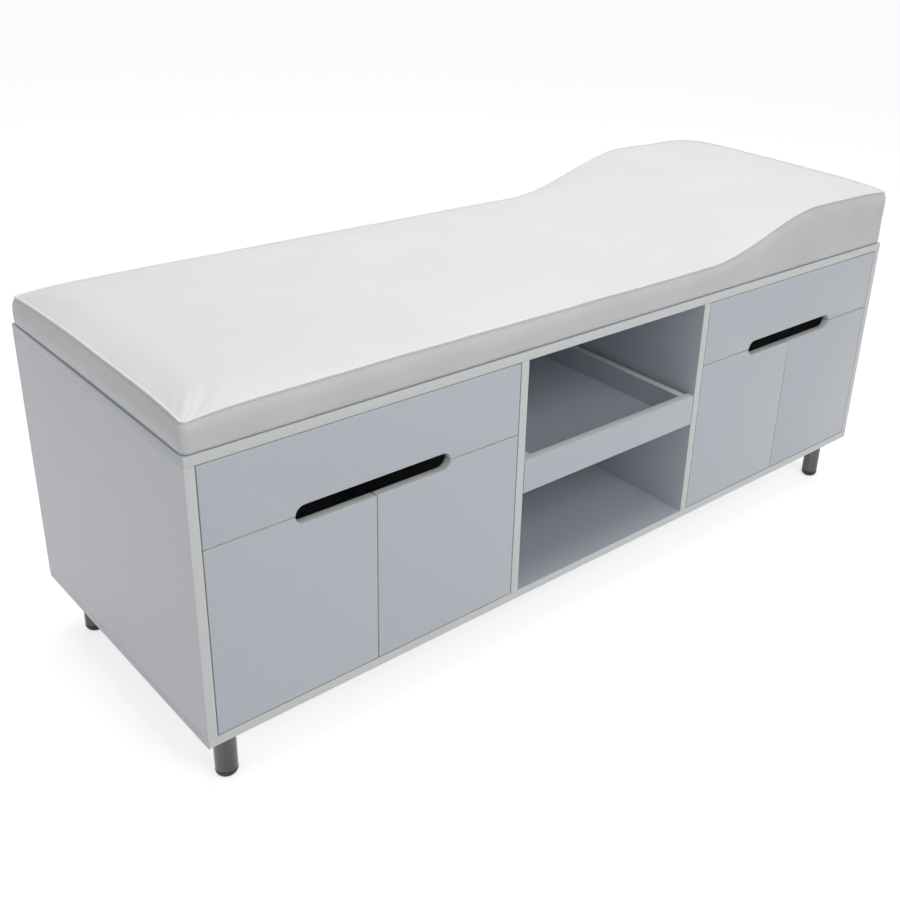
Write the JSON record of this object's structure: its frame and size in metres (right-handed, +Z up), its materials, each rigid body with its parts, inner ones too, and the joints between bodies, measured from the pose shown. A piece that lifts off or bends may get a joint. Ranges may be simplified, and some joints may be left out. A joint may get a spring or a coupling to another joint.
{
  "type": "spa bed with cabinet base",
  "caption": "Padded treatment bed with a raised head end on a cabinet with drawers, doors, an open niche with a pull-out tray, and round levelling legs.",
  "frame": {"origin": "on the floor under the middle of the bed", "axes": "+X along the bed to the raised head end, +Y to the closed back, +Z up; the fronts face -Y"},
  "size_m": [1.85, 0.64, 0.8],
  "materials": {
    "coated_board": "white melamine-coated particle board, fine pearl texture, satin",
    "edge_band": "pale plastic edge banding, satin",
    "back_sheet": "white coated fibreboard",
    "plated_steel": "zinc-plated",
    "screw_steel": "yellowish zinc-plated",
    "leg_steel": "satin nickel",
    "foot_plastic": "black, moulded",
    "plywood": "raw",
    "dowel_wood": "raw beech",
    "foam": "open-cell foam",
    "pad_leathercloth": "white leathercloth, fine grain, soft sheen"
  },
  "bodies": {
    "cabinet": {"top_panel": "coated_board", "bottom_panel": "coated_board", "left_side_panel": "coated_board", "right_side_panel": "coated_board", "left_divider": "coated_board", "right_divider": "coated_board", "back_panel": "back_sheet", "edge_bands": "edge_band", "cabinet_screws": "screw_steel", "slide_outer_members": "plated_steel", "hinge_plates": "plated_steel", "hinge_screws": "screw_steel", "hinge_arms": "plated_steel", "leg_plates": "plated_steel", "leg_screws": "screw_steel", "leg_tubes": "leg_steel", "leg_plugs": "foot_plastic", "pad_board": "plywood", "pad_foam": "foam", "pad_cover": "pad_leathercloth", "pad_screws": "screw_steel"},
    "left_drawer": {"left_drawer_front": "coated_board", "left_drawer_sides": "coated_board", "left_drawer_ends": "coated_board", "left_drawer_bottom": "back_sheet", "left_drawer_slide_inners": "plated_steel", "left_drawer_screws": "screw_steel"},
    "left_drawer_slide_middles": {"left_drawer_slide_middles": "plated_steel"},
    "right_drawer": {"right_drawer_front": "coated_board", "right_drawer_sides": "coated_board", "right_drawer_ends": "coated_board", "right_drawer_bottom": "back_sheet", "right_drawer_slide_inners": "plated_steel", "right_drawer_screws": "screw_steel"},
    "right_drawer_slide_middles": {"right_drawer_slide_middles": "plated_steel"},
    "tray": {"tray_front": "coated_board", "tray_sides": "coated_board", "tray_back": "coated_board", "tray_bottom": "coated_board", "tray_slide_inners": "plated_steel", "tray_dowels": "dowel_wood"},
    "tray_slide_middles": {"tray_slide_middles": "plated_steel"},
    "left_outer_hinge_links": {"left_outer_hinge_links": "plated_steel"},
    "left_outer_door": {"left_outer_door": "coated_board", "left_outer_hinge_cups": "plated_steel"},
    "left_inner_hinge_links": {"left_inner_hinge_links": "plated_steel"},
    "left_inner_door": {"left_inner_door": "coated_board", "left_inner_hinge_cups": "plated_steel"},
    "right_inner_hinge_links": {"right_inner_hinge_links": "plated_steel"},
    "right_inner_door": {"right_inner_door": "coated_board", "right_inner_hinge_cups": "plated_steel"},
    "right_outer_hinge_links": {"right_outer_hinge_links": "plated_steel"},
    "right_outer_door": {"right_outer_door": "coated_board", "right_outer_hinge_cups": "plated_steel"},
    "front_left_foot": {"front_left_foot": "foot_plastic"},
    "front_right_foot": {"front_right_foot": "foot_plastic"},
    "back_left_foot": {"back_left_foot": "foot_plastic"},
    "back_right_foot": {"back_right_foot": "foot_plastic"}
  },
  "joints": [
    {"name": "left_drawer_pull", "type": "slide", "parent": "cabinet", "child": "left_drawer", "axis": [0, -1, 0], "range_m": [0, 0.5]},
    {"name": "left_drawer_middle_slide", "type": "slide", "parent": "cabinet", "child": "left_drawer_slide_middles", "axis": [0, -1, 0], "range_m": [0, 0.25]},
    {"name": "right_drawer_pull", "type": "slide", "parent": "cabinet", "child": "right_drawer", "axis": [0, -1, 0], "range_m": [0, 0.5]},
    {"name": "right_drawer_middle_slide", "type": "slide", "parent": "cabinet", "child": "right_drawer_slide_middles", "axis": [0, -1, 0], "range_m": [0, 0.25]},
    {"name": "tray_pull", "type": "slide", "parent": "cabinet", "child": "tray", "axis": [0, -1, 0], "range_m": [0, 0.5]},
    {"name": "tray_middle_slide", "type": "slide", "parent": "cabinet", "child": "tray_slide_middles", "axis": [0, -1, 0], "range_m": [0, 0.25]},
    {"name": "left_outer_link_swing", "type": "hinge", "parent": "cabinet", "child": "left_outer_hinge_links", "pos_m": [-0.87126, -0.3014, 0.22], "axis": [0, 0, 1], "range_deg": [0, 40]},
    {"name": "left_outer_door_swing", "type": "hinge", "parent": "left_outer_hinge_links", "child": "left_outer_door", "pos_m": [-0.89251, -0.30992, 0.22], "axis": [0, 0, -1], "range_deg": [0, 129.6]},
    {"name": "left_inner_link_swing", "type": "hinge", "parent": "cabinet", "child": "left_inner_hinge_links", "pos_m": [-0.30374, -0.3014, 0.22], "axis": [0, 0, -1], "range_deg": [0, 40]},
    {"name": "left_inner_door_swing", "type": "hinge", "parent": "left_inner_hinge_links", "child": "left_inner_door", "pos_m": [-0.28249, -0.30992, 0.22], "axis": [0, 0, 1], "range_deg": [0, 129.6]},
    {"name": "right_inner_link_swing", "type": "hinge", "parent": "cabinet", "child": "right_inner_hinge_links", "pos_m": [0.30374, -0.3014, 0.22], "axis": [0, 0, 1], "range_deg": [0, 40]},
    {"name": "right_inner_door_swing", "type": "hinge", "parent": "right_inner_hinge_links", "child": "right_inner_door", "pos_m": [0.28249, -0.30992, 0.22], "axis": [0, 0, -1], "range_deg": [0, 129.6]},
    {"name": "right_outer_link_swing", "type": "hinge", "parent": "cabinet", "child": "right_outer_hinge_links", "pos_m": [0.87126, -0.3014, 0.22], "axis": [0, 0, -1], "range_deg": [0, 40]},
    {"name": "right_outer_door_swing", "type": "hinge", "parent": "right_outer_hinge_links", "child": "right_outer_door", "pos_m": [0.89251, -0.30992, 0.22], "axis": [0, 0, 1], "range_deg": [0, 129.6]},
    {"name": "front_left_foot_screw", "type": "slide", "parent": "cabinet", "child": "front_left_foot", "axis": [0, 0, -1], "range_m": [0, 0.01]},
    {"name": "front_right_foot_screw", "type": "slide", "parent": "cabinet", "child": "front_right_foot", "axis": [0, 0, -1], "range_m": [0, 0.01]},
    {"name": "back_left_foot_screw", "type": "slide", "parent": "cabinet", "child": "back_left_foot", "axis": [0, 0, -1], "range_m": [0, 0.01]},
    {"name": "back_right_foot_screw", "type": "slide", "parent": "cabinet", "child": "back_right_foot", "axis": [0, 0, -1], "range_m": [0, 0.01]}
  ],
  "couplings": [
    {"joint": "left_drawer_middle_slide", "follows": "left_drawer_pull", "ratio": 0.5},
    {"joint": "right_drawer_middle_slide", "follows": "right_drawer_pull", "ratio": 0.5},
    {"joint": "tray_middle_slide", "follows": "tray_pull", "ratio": 0.5},
    {"joint": "left_outer_link_swing", "follows": "left_outer_door_swing", "ratio": 0.30556},
    {"joint": "left_inner_link_swing", "follows": "left_inner_door_swing", "ratio": 0.30556},
    {"joint": "right_inner_link_swing", "follows": "right_inner_door_swing", "ratio": 0.30556},
    {"joint": "right_outer_link_swing", "follows": "right_outer_door_swing", "ratio": 0.30556}
  ]
}
